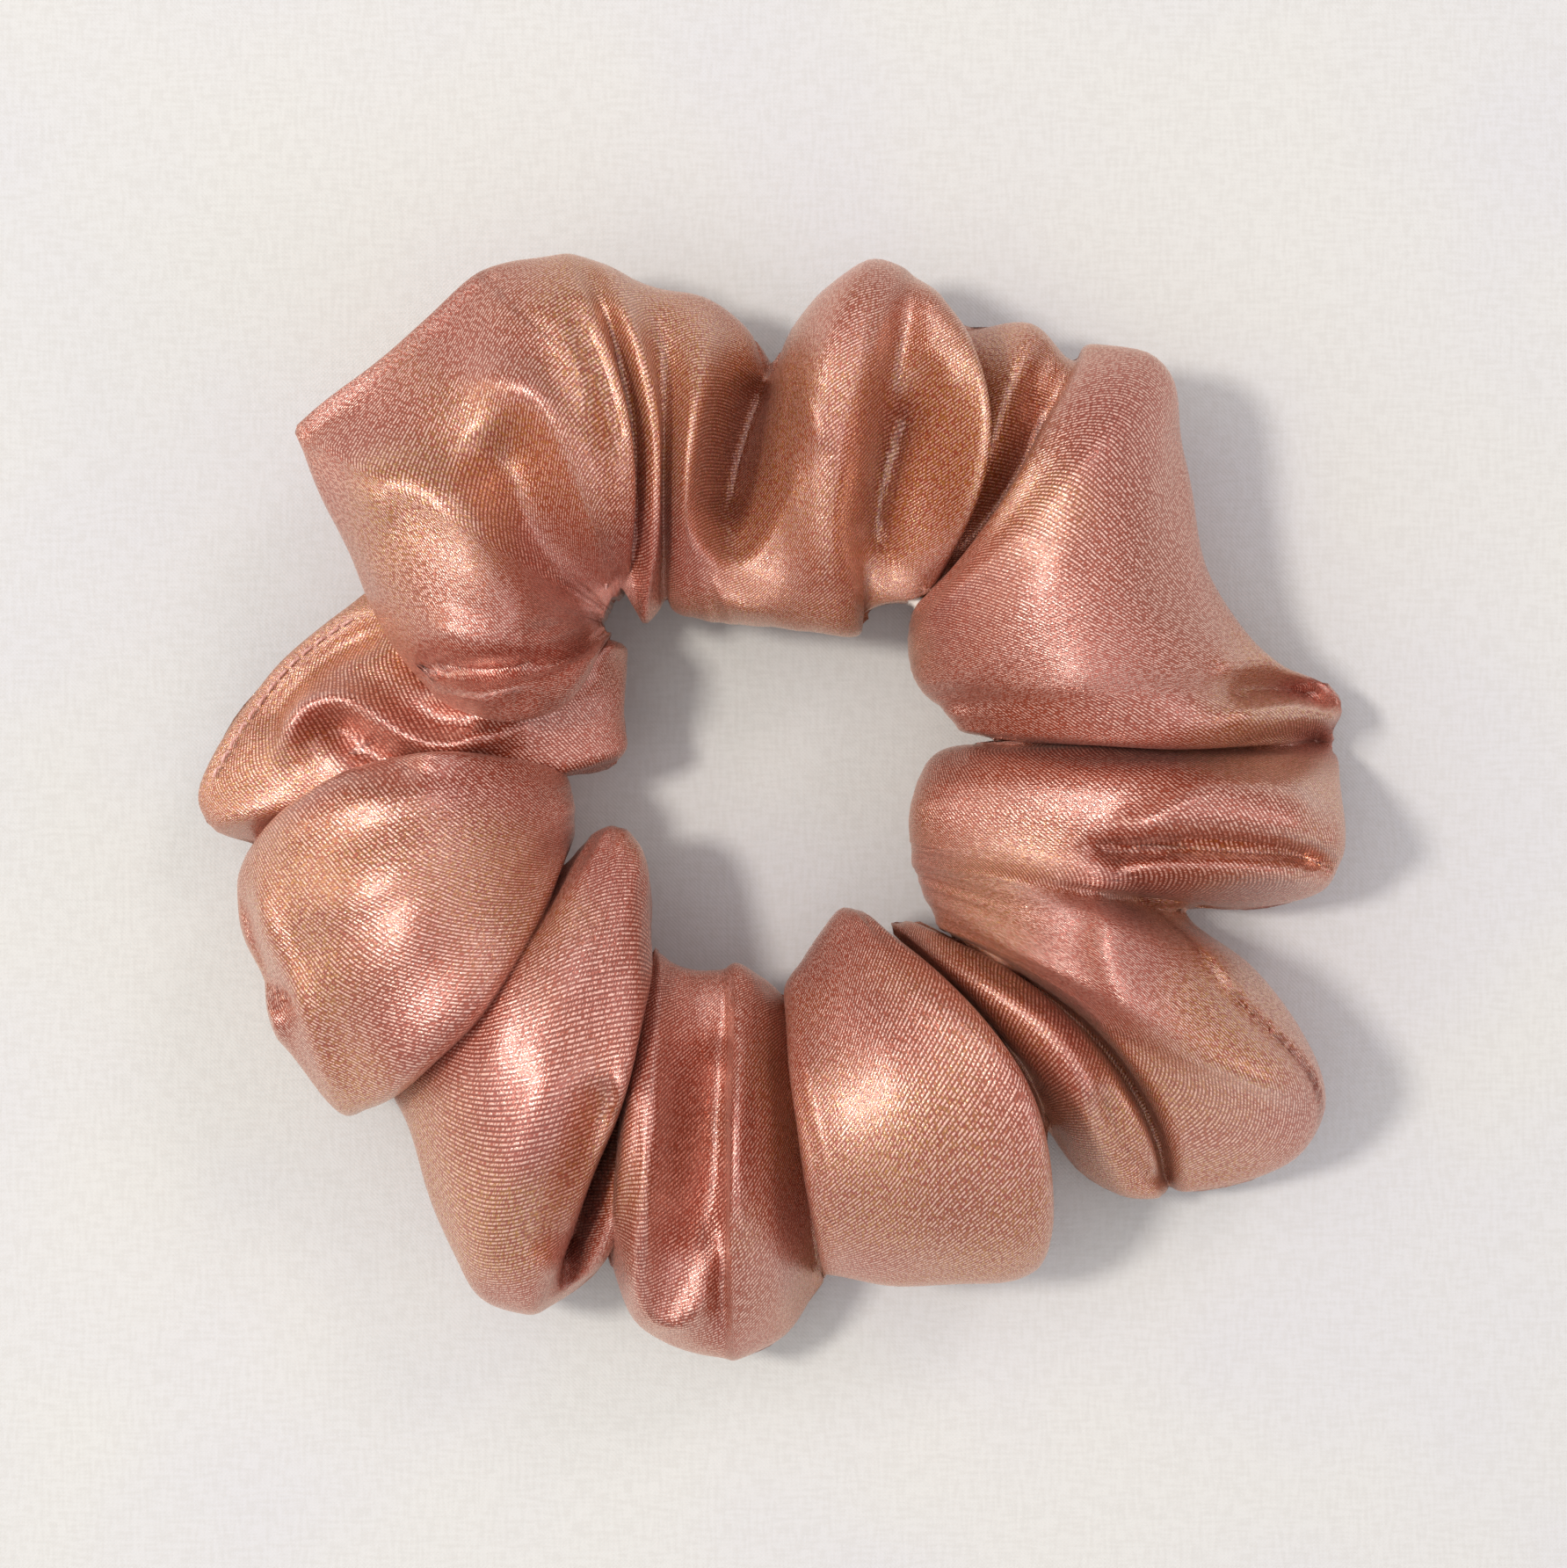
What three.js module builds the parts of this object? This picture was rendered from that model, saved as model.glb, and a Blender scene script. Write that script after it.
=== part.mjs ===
// Satin scrunchie: a tube of cloth gathered on a loop of flat elastic.
// Millimetres, +Z up. It lies flat on Z = 0, with the origin under the middle of its outline.
//
// The cover is one cut of satin, sewn into a tube and joined end to end. It is modelled gather by
// gather, each one a thin hollow shell between two pinches, open at both ends for the elastic.
// The scrunchie stretches along X, so everything is parted at the plane X = 0 of the ring: the half
// with negative X is the held half, and the other half is drawn away from it.

import * as THREE from "three";
import { ParametricGeometry } from "three/addons/geometries/ParametricGeometry.js";

// ---- driving dimensions ----
const HALF_GAP = 0.15; // half the clearance between neighbouring pieces
const CLOTH_WALL = 1.1; // the satin with all its small creases, so that the cover weighs what it should
const SECTION_SIDES = 16;
const PINCH = { inner: 23, outer: 47.5, top: 22, bottom: 1.5 }; // section where the cloth is drawn in
const PUFF_POWER = 0.5; // below 1 a gather swells fast beside its pinches
const REST_SWELL = 0.75; // from this share of its full puff a gather rests on the surface under it
const FLAT_SINK = 1.6; // how far its round underside is cut off flat there

const ELASTIC_RADIUS = 28; // inner face of the relaxed loop
const ELASTIC_WIDTH = 6;
const ELASTIC_THICKNESS = 1;
const ELASTIC_MIDDLE_Z = 12;
const LAP = { from: 157, to: 178 }; // degrees round the ring where the two elastic ends overlap

const THREAD_DIAMETER = 0.5;
const THREAD_SIDES = 6;
const SEAM_INSET = 2.8; // long seam thread, inside the tube's outer fold
const CROSS_SEAM_ANGLE = 115; // degrees, where the two ends of the tube are joined
const CROSS_SEAM_INSET = 2;
const STITCH_STANDOFF = 0.6; // closing stitch, measured from the outer face of the cloth
const STITCH_LIFT = 16; // degrees above the tube's outer fold, about 2 mm in from the edge

const SATIN_COLOUR = 0xc98f7f;
const ELASTIC_COLOUR = 0xf2efe8;
const THREAD_COLOUR = 0xdba596;

// Gathers counter-clockwise round the ring, from straight down (-90 degrees). Each runs from the
// last one's pinch to its own "to" angle, and swells to its own inner and outer radius and height.
const GATHERS = [
  { name: "gather_01", to: -46, inner: 15.0, outer: 56.5, top: 33 },
  { name: "gather_02", to: -35, inner: 18.5, outer: 58.0, top: 23 },
  { name: "gather_03", to: -8, inner: 16.5, outer: 66.0, top: 32 },
  { name: "gather_04", to: 13, inner: 17.0, outer: 61.5, top: 26 },
  { name: "gather_05", to: 55, inner: 18.5, outer: 60.5, top: 33 },
  { name: "gather_06", to: 67, inner: 21.5, outer: 58.0, top: 25 },
  { name: "gather_07", to: 90, inner: 20.5, outer: 58.5, top: 32 },
  { name: "gather_08", to: 121, inner: 21.5, outer: 61.0, top: 31 },
  { name: "gather_09", to: 153, inner: 20.5, outer: 62.0, top: 33 },
  { name: "gather_10", to: 175, inner: 18.0, outer: 59.5, top: 26 },
  { name: "gather_11", to: 205, inner: 18.5, outer: 60.0, top: 33 },
  { name: "gather_12", to: 237, inner: 15.5, outer: 56.5, top: 31 },
  { name: "gather_13", to: 270, inner: 17.0, outer: 58.5, top: 31 },
];
const FIRST_ANGLE = -90;
const MEDIAN_ANGLE = 90; // the right half ends here
const DEGREES_PER_STATION = 6;
const FEWEST_STATIONS = 6;
const CLOSING_GATHER = "gather_10";

const radians = THREE.MathUtils.degToRad;
const lerp = THREE.MathUtils.lerp;

// ---- materials ----
function satin() {
  return new THREE.MeshStandardMaterial({ color: SATIN_COLOUR, roughness: 0.35, metalness: 0 });
}

function knittedElastic() {
  return new THREE.MeshStandardMaterial({ color: ELASTIC_COLOUR, roughness: 0.85, metalness: 0 });
}

function polyesterThread() {
  return new THREE.MeshStandardMaterial({ color: THREAD_COLOUR, roughness: 0.5, metalness: 0 });
}

// ---- the cover ----
// A gather's limits at a share of the way along it: the pinch at both ends, the full puff between.
function limitsAt(gather, share) {
  const swell = Math.sin(Math.PI * share) ** PUFF_POWER;
  return {
    inner: lerp(PINCH.inner, gather.inner, swell),
    outer: lerp(PINCH.outer, gather.outer, swell),
    top: lerp(PINCH.top, gather.top, swell),
    bottom: PINCH.bottom * Math.max(0, 1 - swell / REST_SWELL),
    angle: radians(lerp(gather.from, gather.to, share)),
  };
}

// A point of the section there. turn runs round it from the outer fold, over the top, and inset
// moves the point into the cloth tube. The underside is cut off flat at the section's bottom.
function sectionPoint(gather, share, turn, inset, target) {
  const { inner, outer, top, bottom, angle } = limitsAt(gather, share);
  const low = bottom - FLAT_SINK;
  const radius = (outer + inner) / 2 + ((outer - inner) / 2 - inset) * Math.cos(turn);
  const round = (top + low) / 2 + ((top - low) / 2 - inset) * Math.sin(turn);
  const height = Math.max(round, bottom + inset);
  const back = lerp(HALF_GAP, -HALF_GAP, share);
  return target.set(
    radius * Math.cos(angle) - back * Math.sin(angle),
    radius * Math.sin(angle) + back * Math.cos(angle),
    height
  );
}

function stationsAlong(gather) {
  return Math.max(FEWEST_STATIONS, Math.round((gather.to - gather.from) / DEGREES_PER_STATION));
}

// Stations crowd towards the pinches, where the section changes fastest.
function stationShare(station, stations) {
  return (1 - Math.cos((Math.PI * station) / stations)) / 2;
}

// One gather as a thin shell: along its outer face, over the far rim, back along its inner face.
function gatherShell(gather) {
  const stations = stationsAlong(gather);
  const steps = 2 * stations + 2;
  const wallLoop = (along, round, target) => {
    const step = Math.round(along * steps) % steps;
    const outside = step <= stations;
    const share = stationShare(outside ? step : 2 * stations + 1 - step, stations);
    sectionPoint(gather, share, 2 * Math.PI * round, outside ? 0 : CLOTH_WALL, target);
  };
  const shell = new THREE.Mesh(new ParametricGeometry(wallLoop, steps, SECTION_SIDES), satin());
  shell.name = "satin_cover_" + gather.name;
  return shell;
}

// ---- the elastic ----
// A flat strip on edge that follows radiusAt round the ring.
function elasticStrip(name, from, to, radiusAt) {
  const steps = Math.max(4, Math.round((to - from) / 6));
  const pointAt = (share, outwards) => {
    const angle = lerp(from, to, share);
    const radius = radiusAt(angle) + outwards;
    return new THREE.Vector2(radius * Math.cos(radians(angle)), radius * Math.sin(radians(angle)));
  };
  const shares = Array.from({ length: steps + 1 }, (_, i) => i / steps);
  const innerFace = shares.map((share) => pointAt(share, 0));
  const outerFace = shares.map((share) => pointAt(share, ELASTIC_THICKNESS)).reverse();
  const outline = new THREE.Shape([...innerFace, ...outerFace]);
  const geometry = new THREE.ExtrudeGeometry(outline, { depth: ELASTIC_WIDTH, bevelEnabled: false });
  const strip = new THREE.Mesh(geometry, knittedElastic());
  strip.position.z = ELASTIC_MIDDLE_Z - ELASTIC_WIDTH / 2;
  strip.name = name;
  return strip;
}

// The lower end climbs on to the outside of the upper end, where they are sewn together.
function lappedRadius(angle) {
  const climb = THREE.MathUtils.smoothstep(270 - angle, 270 - LAP.to - 60, 270 - LAP.to - 6);
  return ELASTIC_RADIUS + climb * (ELASTIC_THICKNESS + 2 * HALF_GAP);
}

// ---- threads ----
// A round thread through the points, capped at both ends.
function thread(name, points, steps) {
  const path = new THREE.CatmullRomCurve3(points, false, "centripetal");
  const corners = Array.from({ length: THREAD_SIDES }, (_, i) => {
    const turn = (2 * Math.PI * i) / THREAD_SIDES;
    const reach = THREAD_DIAMETER / 2;
    return new THREE.Vector2(reach * Math.cos(turn), reach * Math.sin(turn));
  });
  const section = new THREE.Shape(corners);
  const geometry = new THREE.ExtrudeGeometry(section, { steps, extrudePath: path });
  const mesh = new THREE.Mesh(geometry, polyesterThread());
  mesh.name = name;
  return mesh;
}

// The lockstitch of the long seam lies inside the tube's outer fold, through a run of gathers.
function longSeamThread(name, gathers) {
  const pointAt = (gather, share) =>
    sectionPoint(gather, share, 0, CLOTH_WALL + SEAM_INSET, new THREE.Vector3());
  const points = gathers.flatMap((gather) => {
    const stations = stationsAlong(gather);
    return Array.from({ length: stations }, (_, i) => pointAt(gather, stationShare(i, stations)));
  });
  points.push(pointAt(gathers.at(-1), 1));
  return thread(name, points, points.length * 2 - 2);
}

// The cross seam goes round inside the tube, from one side of the outer fold to the other.
function crossSeamThread(gather) {
  const share = (CROSS_SEAM_ANGLE - gather.from) / (gather.to - gather.from);
  const [first, last] = [radians(24), radians(336)];
  const points = Array.from({ length: 17 }, (_, i) => {
    const turn = lerp(first, last, i / 16);
    return sectionPoint(gather, share, turn, CLOTH_WALL + CROSS_SEAM_INSET, new THREE.Vector3());
  });
  return thread("cross_seam_thread", points, 32);
}

// The gap that the tube was turned and threaded through is closed by a row along its outer edge.
function closingStitch(gather) {
  const points = Array.from({ length: 13 }, (_, i) => {
    const share = lerp(0.12, 0.88, i / 12);
    return sectionPoint(gather, share, radians(STITCH_LIFT), -STITCH_STANDOFF, new THREE.Vector3());
  });
  return thread("closing_edge_stitch", points, 24);
}

// A zigzag across the outside of the elastic's lap.
function lapStitch() {
  const turns = 7;
  const radius = ELASTIC_RADIUS + 2 * ELASTIC_THICKNESS + 4 * HALF_GAP + THREAD_DIAMETER / 2;
  const points = Array.from({ length: turns + 1 }, (_, i) => {
    const angle = radians(lerp(LAP.from + 4, LAP.to - 4, i / turns));
    const up = (i % 2 ? 1 : -1) * ELASTIC_WIDTH * 0.34;
    return new THREE.Vector3(radius * Math.cos(angle), radius * Math.sin(angle), ELASTIC_MIDDLE_Z + up);
  });
  return thread("elastic_lap_zigzag", points, turns * 5);
}

// ---- assembly ----
GATHERS.forEach((gather, i) => {
  gather.from = i ? GATHERS[i - 1].to : FIRST_ANGLE;
});
const rightGathers = GATHERS.filter((gather) => gather.to <= MEDIAN_ANGLE);
const leftGathers = GATHERS.filter((gather) => gather.to > MEDIAN_ANGLE);
const gatherNamed = (name) => GATHERS.find((gather) => gather.name === name);
const gatherAround = (angle) => GATHERS.find((gather) => gather.from < angle && angle < gather.to);
const endClearance = THREE.MathUtils.radToDeg(HALF_GAP / ELASTIC_RADIUS);

const rightHalf = new THREE.Group();
rightHalf.add(
  ...rightGathers.map(gatherShell),
  elasticStrip("elastic_right", -90 + endClearance, 90 - endClearance, () => ELASTIC_RADIUS),
  longSeamThread("long_seam_thread_right", rightGathers)
);

const leftHalf = new THREE.Group();
leftHalf.add(
  ...leftGathers.map(gatherShell),
  elasticStrip("elastic_upper_end", 90 + endClearance, LAP.to, () => ELASTIC_RADIUS),
  elasticStrip("elastic_lower_end", LAP.from, 270 - endClearance, lappedRadius),
  lapStitch(),
  longSeamThread("long_seam_thread_left", leftGathers),
  crossSeamThread(gatherAround(CROSS_SEAM_ANGLE)),
  closingStitch(gatherNamed(CLOSING_GATHER))
);

const scrunchie = new THREE.Group();
scrunchie.add(leftHalf, rightHalf);
const outline = new THREE.Box3().setFromObject(scrunchie);
const middle = outline.getCenter(new THREE.Vector3());
scrunchie.position.set(-middle.x, -middle.y, -outline.min.z);

export default scrunchie;
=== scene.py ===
"""A satin scrunchie: a gathered cloth tube over a knitted elastic, with its seams and stitches."""

import math

import bpy
import numpy as np
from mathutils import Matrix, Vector


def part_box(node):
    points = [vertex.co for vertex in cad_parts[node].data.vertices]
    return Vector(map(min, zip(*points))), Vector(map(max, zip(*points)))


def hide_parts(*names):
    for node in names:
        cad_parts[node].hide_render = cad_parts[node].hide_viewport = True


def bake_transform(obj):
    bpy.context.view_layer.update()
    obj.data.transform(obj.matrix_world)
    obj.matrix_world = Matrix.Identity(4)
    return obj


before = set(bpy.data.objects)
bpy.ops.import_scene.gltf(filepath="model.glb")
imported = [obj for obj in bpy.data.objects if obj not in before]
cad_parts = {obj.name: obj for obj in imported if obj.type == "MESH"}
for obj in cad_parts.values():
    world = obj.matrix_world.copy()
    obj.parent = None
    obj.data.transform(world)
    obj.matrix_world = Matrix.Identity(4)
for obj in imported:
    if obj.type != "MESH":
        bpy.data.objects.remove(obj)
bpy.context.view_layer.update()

scene = bpy.context.scene
MM = 0.001
PUFF_TOP = 30
CLOTH_THICKNESS = 0.35
ROUND_STEPS = 108
ALONG_STEPS = 720
GROUND_GAP = 0.35
ELASTIC_RADIUS = 28.5
ELASTIC_TOP = 16.4
ELASTIC_BOTTOM = 8.0
RING_MIDDLE = (-1.2, -1.3)
LINE_STEPS = 60
NARROW_LINE = 1.5
CALM_PASSES = 50
LEAST_PUFF = 2.4
LOWEST_UNDERSIDE = 0.4
LOWEST_THREAD = 1.3

# ---- the folds, in millimetres ----
# Each fold line runs over the top of the cover from the hole to the outer edge, and they go round
# the ring counter-clockwise, starting at the right. A line is its inner end, its outer end, how far
# it bows counter-clockwise a third and two thirds of the way out, and five heights along it: at the
# inner edge, at three places over the top, and at the outer edge.
FOLDS = [
    # big right-hand puff, upper part: its own top edge and the tuck above that
    ((14.4, 1.0), (59.0, -2.5), (0, 0.5), (16, 27, 30, 31, 15)),
    ((15.5, 4.0), (59.6, 2.6), (0, 0), (14, 27, 29, 27, 10)),
    ((18.5, 6.8), (59.9, 5.5), (0, 0), (12, 22, 22, 16, 7)),
    ((26.0, 7.6), (59.7, 7.2), (0, 0), (10, 16.6, 14, 9, 5)),
    # top right puff, from its lower edge and its tail round to its left edge
    ((20.5, 8.4), (59.6, 8.6), (-1, -1), (13, 25, 27, 15, 6)),
    ((19.0, 9.4), (60.0, 11.0), (-1, -1), (15, 27, 30, 20, 10)),
    ((17.5, 11.0), (58.6, 13.6), (0, -1), (16, 28, 31, 19, 8)),
    ((15.5, 12.8), (52.0, 15.9), (0, 0), (17, 29, 32, 26, 12)),
    ((14.4, 14.8), (45.5, 24.5), (0, 0), (17, 29, 33, 30, 15)),
    ((14.3, 17.0), (42.3, 37.0), (0, 0), (17, 29, 33, 31, 17)),
    ((14.3, 18.4), (41.2, 44.6), (0, 0), (17, 29, 33, 31, 18)),
    ((14.5, 19.6), (38.8, 47.2), (-0.5, 0), (16, 28, 32, 30, 18)),
    ((14.8, 20.8), (33.5, 48.0), (-1, 0), (15, 25, 30, 29, 16)),
    # low folds behind it
    ((17.0, 23.5), (31.0, 47.6), (-1, -1), (9, 15, 15, 19, 10)),
    ((17.5, 24.5), (27.2, 50.8), (0, 0), (9, 15, 19, 22, 12)),
    ((18.5, 27.0), (20.5, 50.9), (0, 0), (8, 14, 15, 14, 8)),
    # top puff, right of the middle, with its hollow
    ((16.5, 22.8), (17.8, 52.5), (-2.5, -3), (12, 23, 27, 28, 15)),
    ((12.5, 21.8), (16.4, 54.3), (-1, -0.5), (11, 19, 20, 27, 15)),
    ((10.2, 21.0), (15.0, 55.2), (0.5, 0.5), (10, 17, 18, 25, 14)),
    ((9.2, 18.8), (13.2, 56.3), (2, 1.5), (12, 23, 26, 29, 15)),
    ((7.0, 18.4), (10.0, 56.9), (2, 2), (14, 25, 28, 30, 15)),
    ((4.0, 18.9), (6.0, 54.6), (1, 1), (14, 24, 26, 28, 14)),
    ((1.2, 19.1), (2.6, 50.8), (0.5, 0.5), (14, 23, 21, 23, 12)),
    ((-2.0, 19.5), (0.3, 46.6), (2, 1.5), (14, 22, 13, 14, 8)),
    ((-6.0, 20.0), (-2.3, 50.2), (2, 1), (14, 24, 22, 20, 12)),
    ((-9.8, 20.7), (-6.0, 53.0), (0, 0), (13, 24, 27, 25, 13)),
    # the low flat and the ridge beside it
    ((-10.8, 22.5), (-12.3, 54.8), (0, -1), (11, 19, 22, 24, 14)),
    ((-12.9, 19.6), (-17.3, 56.5), (-2, -2.5), (14, 24, 26, 28, 16)),
    ((-14.6, 22.0), (-19.3, 57.0), (-1.5, -2), (12, 20, 22, 26, 16)),
    # top left puff
    ((-15.3, 23.0), (-22.0, 57.2), (-3, -2), (14, 25, 28, 29, 17)),
    ((-15.6, 22.8), (-27.0, 56.2), (-1, 0), (15, 28, 31, 29, 19)),
    ((-15.8, 22.4), (-29.7, 55.1), (-1, 0), (16, 29, 32, 28, 20)),
    ((-16.2, 22.0), (-34.8, 50.2), (0, 0), (16, 28, 31, 27, 21)),
    ((-16.6, 21.4), (-40.5, 45.4), (0, 0), (16, 28, 30, 27, 21)),
    ((-16.9, 21.0), (-47.0, 40.7), (0, 0), (17, 28, 31, 26, 20)),
    ((-17.1, 20.6), (-48.6, 39.3), (0, 0), (17, 28, 31, 26, 19)),
    ((-17.2, 20.2), (-47.8, 37.2), (0, 0), (17, 29, 31, 27, 18)),
    ((-17.3, 19.8), (-43.2, 27.0), (1, 1), (16, 29, 31, 28, 17)),
    ((-17.1, 19.2), (-39.3, 17.8), (3, 3), (15, 27, 29, 26, 15)),
    ((-16.5, 18.6), (-34.0, 11.8), (4, 3), (13, 22, 24, 22, 14)),
    # stitched fold at the left
    ((-21.0, 18.5), (-41.0, 23.6), (2, 0), (9, 14, 14, 12, 9)),
    ((-15.5, 17.8), (-44.5, 21.6), (1, 0), (12, 17, 15, 13, 9)),
    ((-14.9, 15.5), (-50.6, 16.8), (0, 0), (12, 18, 15, 13, 9)),
    ((-15.2, 12.0), (-55.0, 11.4), (1, -1), (13, 19, 17, 14, 9)),
    ((-14.8, 9.0), (-58.0, 6.6), (2, -2), (13, 19, 18, 15, 9)),
    ((-15.0, 6.6), (-60.0, 1.8), (2, -3), (13, 18, 17, 15, 9)),
    ((-17.5, 4.6), (-58.6, -1.5), (0, -1), (10, 15, 15, 16, 9)),
    ((-24.0, 4.6), (-54.6, -3.2), (-2, -2), (8, 15, 12, 10, 5)),
    # big left-hand puff
    ((-21.5, 4.4), (-54.3, -4.6), (-3, -3), (14, 26, 28, 26, 13)),
    ((-20.4, 2.4), (-55.0, -8.0), (-1, -1), (16, 29, 31, 28, 13)),
    ((-20.0, 0.6), (-54.6, -13.0), (0, 0), (17, 30, 33, 29, 12)),
    ((-20.0, -0.4), (-52.6, -17.6), (0, 0), (17, 30, 33, 29, 11)),
    ((-20.1, -1.2), (-51.8, -21.6), (0.2, 0.2), (17, 30, 33, 29, 11)),
    ((-20.3, -2.2), (-49.0, -26.0), (0.8, 0.8), (16, 29.5, 32.5, 29, 11)),
    ((-20.4, -3.0), (-44.3, -31.0), (2.4, 2.4), (15, 28, 31.5, 29, 13)),
    ((-24.0, -8.0), (-41.5, -29.5), (2, 1), (9, 15, 14, 10, 4)),
    # lower left puff and its hollow
    ((-19.8, -3.6), (-38.2, -30.9), (1, 0), (13, 23, 26, 25, 12)),
    ((-17.4, -1.6), (-35.5, -39.0), (0, 0), (17, 27, 30, 28, 12)),
    ((-15.0, -1.4), (-32.3, -46.0), (0.5, 0), (18, 28, 31, 29, 13)),
    ((-12.7, -4.5), (-29.5, -50.6), (2, 0), (17, 28, 30, 28, 12)),
    ((-12.3, -9.5), (-25.5, -52.2), (3, 0), (16, 27, 29, 27, 11)),
    ((-12.8, -16.0), (-22.8, -51.2), (1, 0), (13, 21, 19, 19, 10)),
    ((-13.3, -21.0), (-20.6, -50.0), (-1, -2), (10, 15, 13, 14, 9)),
    ((-13.0, -21.0), (-18.2, -47.6), (2, 2), (10, 18, 20, 18, 9)),
    ((-13.0, -20.0), (-17.2, -45.5), (0, 0), (9, 14, 12, 9, 4)),
    # bottom puff with its long hollow
    ((-12.0, -14.0), (-16.2, -48.0), (-0.5, 0), (13, 22, 24, 22, 10)),
    ((-11.3, -14.5), (-14.0, -52.4), (0.5, 0), (16, 25, 27, 26, 12)),
    ((-9.0, -15.8), (-11.0, -54.8), (0, 0), (16, 23, 23, 24, 11)),
    ((-6.5, -16.0), (-7.4, -56.4), (0.3, 0), (15, 21, 20, 22, 10)),
    ((-4.8, -15.9), (-5.0, -57.0), (0.3, 0), (15, 20, 18, 20, 9)),
    ((-3.3, -15.5), (-3.0, -57.2), (0, -0.5), (15, 25, 27, 24, 9)),
    ((-1.0, -16.6), (1.0, -55.0), (0, 0), (14, 23, 24, 21, 8)),
    ((2.4, -20.0), (5.4, -49.8), (0, 0), (10, 15, 15, 12, 5)),
    # lower right puff
    ((1.6, -17.0), (6.6, -47.6), (-0.5, -0.5), (16, 26, 29, 27, 13)),
    ((4.4, -13.6), (12.8, -48.9), (0, 0), (17, 29, 31, 28, 13)),
    ((7.0, -9.8), (20.5, -48.5), (0.5, 0.5), (18, 29, 32, 29, 13)),
    ((8.8, -9.7), (26.4, -47.9), (2.5, 2.5), (17, 29, 31, 29, 13)),
    ((10.0, -10.6), (28.3, -46.4), (3.4, 3.8), (16, 27, 30, 28, 13)),
    ((11.6, -12.4), (28.9, -38.0), (2.2, 2.0), (14, 22, 25, 24, 11)),
    ((17.0, -17.0), (29.5, -33.0), (1, 1), (8, 15, 13, 10, 3)),
    # narrow rolled fold
    ((12.6, -11.6), (33.2, -38.2), (1.2, 2.2), (12, 20, 22, 17, 6)),
    ((13.4, -11.2), (37.0, -40.2), (2.0, 2.8), (12, 21.5, 24.5, 21, 8)),
    ((14.8, -11.2), (40.4, -40.4), (2.8, 3.2), (12, 20, 22, 20, 8)),
    ((21.5, -14.6), (42.4, -39.8), (2.2, 2.4), (9, 15, 13, 9, 3)),
    # big right-hand puff, lower part
    ((18.0, -12.0), (44.8, -39.9), (3.0, 2.8), (12, 22, 23, 18, 6)),
    ((17.6, -11.8), (51.0, -38.4), (2, 2), (13, 24, 25, 21, 8)),
    ((17.0, -11.0), (55.6, -35.0), (1.5, 1), (14, 27, 29, 26, 11)),
    ((16.5, -9.6), (57.3, -30.0), (0.5, 0), (15, 28, 31, 30, 14)),
    ((15.6, -7.6), (54.6, -22.3), (0, 0), (15, 27, 31, 31, 14)),
    ((15.0, -6.0), (50.0, -15.8), (0, 0), (15, 27, 30, 28, 12)),
    ((14.6, -4.6), (43.2, -9.8), (0, 0), (15, 27, 27, 12, 6)),
    ((14.5, -3.4), (50.0, -10.1), (0, 0), (15, 27, 26, 17, 8)),
    ((14.4, -2.4), (57.6, -8.2), (0, 0), (15, 27, 27, 23, 9)),
    ((14.4, -1.0), (59.0, -5.0), (0, 0), (15, 27, 29, 28, 13)),
]

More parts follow.
